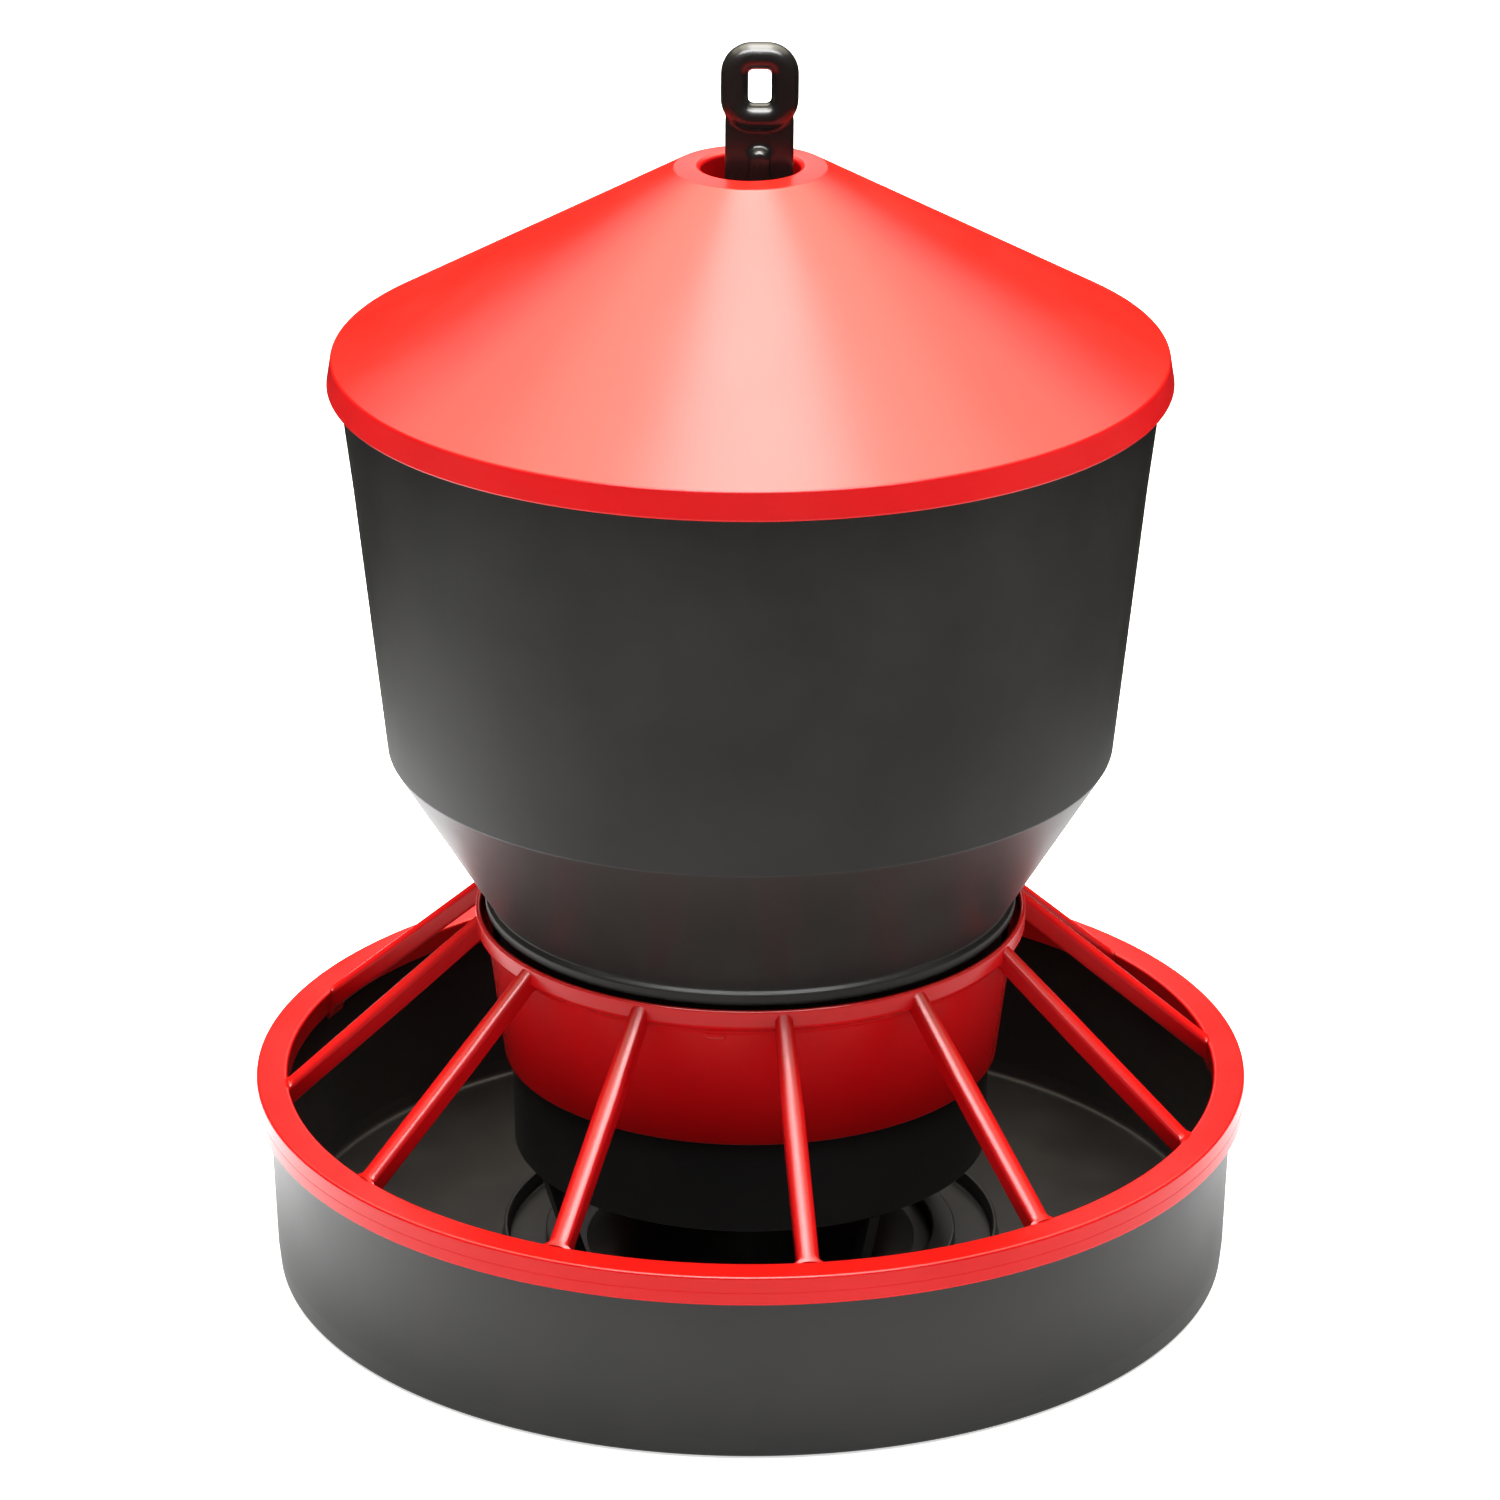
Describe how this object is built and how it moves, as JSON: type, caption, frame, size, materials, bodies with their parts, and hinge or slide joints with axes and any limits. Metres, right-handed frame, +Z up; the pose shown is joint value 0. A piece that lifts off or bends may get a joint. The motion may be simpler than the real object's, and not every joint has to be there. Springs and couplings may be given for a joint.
{
  "type": "gravity poultry feeder",
  "caption": "Gravity feeder for hens: a round pan under a barred anti-waste grill, a tapered hopper standing in the grill's collar, a cone lid and a flat hanger with an eye.",
  "frame": {"origin": "centre of the pan's flat underside", "axes": "+Z up along the feeder's axis, -Y towards the front, +X to the right as seen from the front"},
  "size_m": [0.3407, 0.3408, 0.431],
  "materials": {
    "black_plastic": "satin injection-moulded polypropylene",
    "hopper_plastic": "satin injection-moulded polypropylene",
    "red_plastic": "semi-gloss injection-moulded polypropylene",
    "lid_plastic": "semi-gloss injection-moulded polypropylene",
    "hanger_plastic": "gloss injection-moulded nylon"
  },
  "bodies": {
    "pan": {"pan_floor": "black_plastic", "pan_ridge": "black_plastic", "pan_wall": "black_plastic", "pan_cone": "black_plastic"},
    "grill": {"grill_ring": "red_plastic", "grill_collar": "red_plastic", "grill_bars": "red_plastic"},
    "hopper": {"hopper_neck": "hopper_plastic", "hopper_funnel": "hopper_plastic", "hopper_bin": "hopper_plastic", "hopper_foot_ring": "hopper_plastic", "hopper_legs": "hopper_plastic"},
    "lid": {"lid": "lid_plastic"},
    "hanger": {"hanger": "hanger_plastic"}
  },
  "joints": [
    {"name": "grill_lift", "type": "slide", "parent": "pan", "child": "grill", "axis": [0, 0, 1], "range_m": [0, 0.07]},
    {"name": "hopper_lift", "type": "slide", "parent": "grill", "child": "hopper", "axis": [0, 0, 1], "range_m": [0, 0.13]},
    {"name": "lid_lift", "type": "slide", "parent": "hopper", "child": "lid", "axis": [0, 0, 1], "range_m": [0, 0.13]},
    {"name": "hanger_turn", "type": "hinge", "parent": "pan", "child": "hanger", "pos_m": [0, 0, 0.0265], "axis": [0, 0, 1], "range_deg": [0, 90]}
  ]
}
